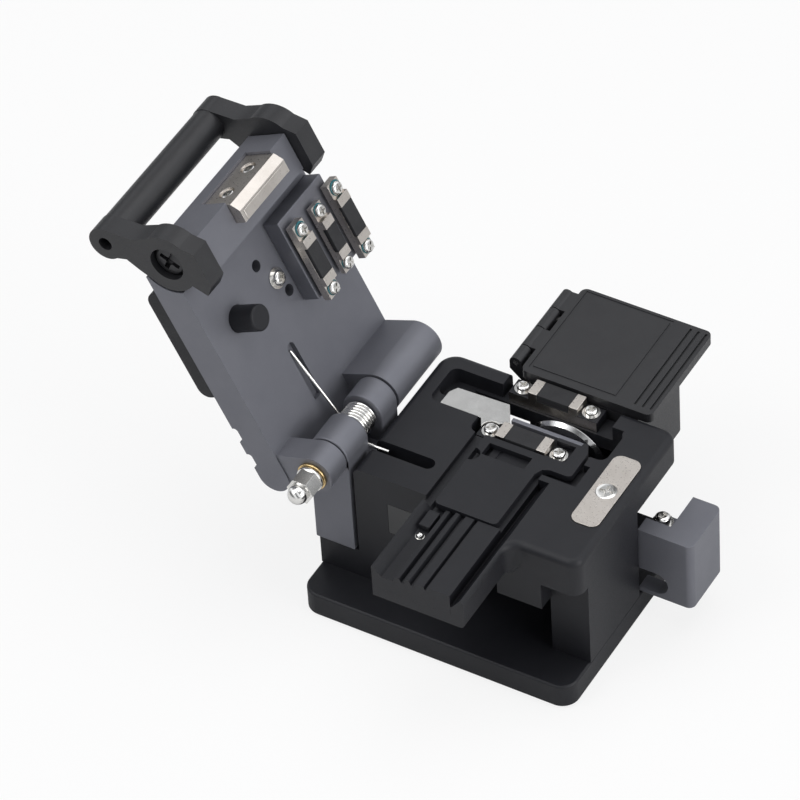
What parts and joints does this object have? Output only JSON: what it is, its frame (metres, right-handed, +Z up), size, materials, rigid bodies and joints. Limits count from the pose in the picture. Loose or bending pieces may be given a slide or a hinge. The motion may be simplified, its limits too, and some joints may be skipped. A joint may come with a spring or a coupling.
{
  "type": "fibre cleaver",
  "caption": "Bench fibre cleaver: boxy body on a base plate, raised clamp lid with carrying handle, sprung blade carriage with thumb knob, fibre fixture and scrap bin.",
  "frame": {"origin": "middle of the base plate's outline, on the surface that the rubber feet stand on", "axes": "+Z up, +X towards the thumb knob, +Y along the fibre towards the scrap bin, -X the lid hinge side"},
  "size_m": [0.1576, 0.1175, 0.1209],
  "materials": {
    "black_anodised": "satin black anodised aluminium, fine bead-blasted grain",
    "grey_anodised": "satin dark grey anodised aluminium",
    "nickel": "satin nickel plated steel",
    "polished_steel": "bright steel, polished",
    "brass": "turned brass",
    "black_rubber": "matte black rubber",
    "black_plastic": "moulded black plastic, fine spark texture",
    "black_steel": "blackened steel screws",
    "label_stock": "plain satin label, blank"
  },
  "bodies": {
    "body": {"base_plate": "black_anodised", "rubber_feet": "black_rubber", "base_screws": "polished_steel", "body_casting": "black_anodised", "label_plate": "label_stock", "fibre_fixture": "black_anodised", "cable_stop": "black_anodised", "fixture_cover": "black_anodised", "lower_clamp_front": "nickel", "lower_clamp_front_pad": "black_rubber", "lower_clamp_rear": "nickel", "lower_clamp_rear_pad": "black_rubber", "clamp_screws": "polished_steel", "clamp_washers": "polished_steel", "guard_plate": "polished_steel", "blade_shield": "grey_anodised", "catch_plate": "nickel", "catch_screw": "polished_steel", "carriage_rail": "polished_steel", "hinge_post": "grey_anodised", "hinge_shaft": "polished_steel", "hinge_washer": "polished_steel", "cap_nut": "polished_steel", "torsion_spring": "polished_steel", "return_spring": "polished_steel", "scrap_bin": "black_plastic", "bin_pin": "polished_steel"},
    "ball": {"ball_plunger": "polished_steel"},
    "carriage": {"blade_carriage": "black_anodised", "blade_holder": "grey_anodised", "blade_spindle": "polished_steel", "thumb_knob": "grey_anodised", "knob_screw": "polished_steel", "knob_washer": "polished_steel"},
    "blade": {"blade_wheel": "polished_steel"},
    "lid": {"lid_plate": "grey_anodised", "hinge_bush": "brass", "lid_back_pad": "black_rubber", "spring_leg": "polished_steel", "lid_washer": "polished_steel", "lid_screw": "polished_steel", "clamp_carrier": "grey_anodised", "upper_clamp_front_screws": "polished_steel", "upper_clamp_rear_screws": "polished_steel", "anvil_screws": "polished_steel", "magnet_holder": "nickel", "magnet_bar": "nickel", "magnet_screws": "polished_steel", "handle_screws": "black_steel"},
    "front_jaw": {"upper_clamp_front": "nickel", "upper_clamp_front_pad": "black_rubber"},
    "rear_jaw": {"upper_clamp_rear": "nickel", "upper_clamp_rear_pad": "black_rubber"},
    "anvil_jaw": {"anvil": "nickel", "anvil_pad": "black_rubber"},
    "plunger": {"hold_down_plunger": "black_anodised"},
    "handle": {"carry_handle": "black_plastic"},
    "flap": {"bin_flap": "black_plastic"}
  },
  "joints": [
    {"name": "lid_hinge", "type": "hinge", "parent": "body", "child": "lid", "pos_m": [-0.0363, 0, 0.05185], "axis": [0, 1, 0], "range_deg": [0, 116.3]},
    {"name": "handle_pivot", "type": "hinge", "parent": "lid", "child": "handle", "pos_m": [-0.07632, 0, 0.11205], "axis": [0, 1, 0], "range_deg": [0, 30]},
    {"name": "carriage_slide", "type": "slide", "parent": "body", "child": "carriage", "axis": [-1, 0, 0], "range_m": [0, 0.0095], "stiffness_N_per_m": 60, "deforming": ["return_spring"]},
    {"name": "blade_turn", "type": "hinge", "parent": "carriage", "child": "blade", "pos_m": [0.0139, 0.01955, 0.0384], "axis": [0, 1, 0], "continuous": true},
    {"name": "bin_flap_hinge", "type": "hinge", "parent": "body", "child": "flap", "pos_m": [-0.0099, 0.04, 0.0499], "axis": [0, -1, 0], "range_deg": [0, 95]},
    {"name": "front_clamp_spring", "type": "slide", "parent": "lid", "child": "front_jaw", "axis": [-0.8965, 0, -0.4431], "range_m": [0, 0.0008], "stiffness_N_per_m": 400},
    {"name": "rear_clamp_spring", "type": "slide", "parent": "lid", "child": "rear_jaw", "axis": [-0.8965, 0, -0.4431], "range_m": [0, 0.0008], "stiffness_N_per_m": 400},
    {"name": "anvil_spring", "type": "slide", "parent": "lid", "child": "anvil_jaw", "axis": [-0.8965, 0, -0.4431], "range_m": [0, 0.0008], "stiffness_N_per_m": 400},
    {"name": "plunger_spring", "type": "slide", "parent": "lid", "child": "plunger", "axis": [-0.8965, 0, -0.4431], "range_m": [0, 0.0016], "stiffness_N_per_m": 400},
    {"name": "ball_press", "type": "slide", "parent": "body", "child": "ball", "axis": [0, 0, -1], "range_m": [0, 0.0006], "stiffness_N_per_m": 200}
  ]
}
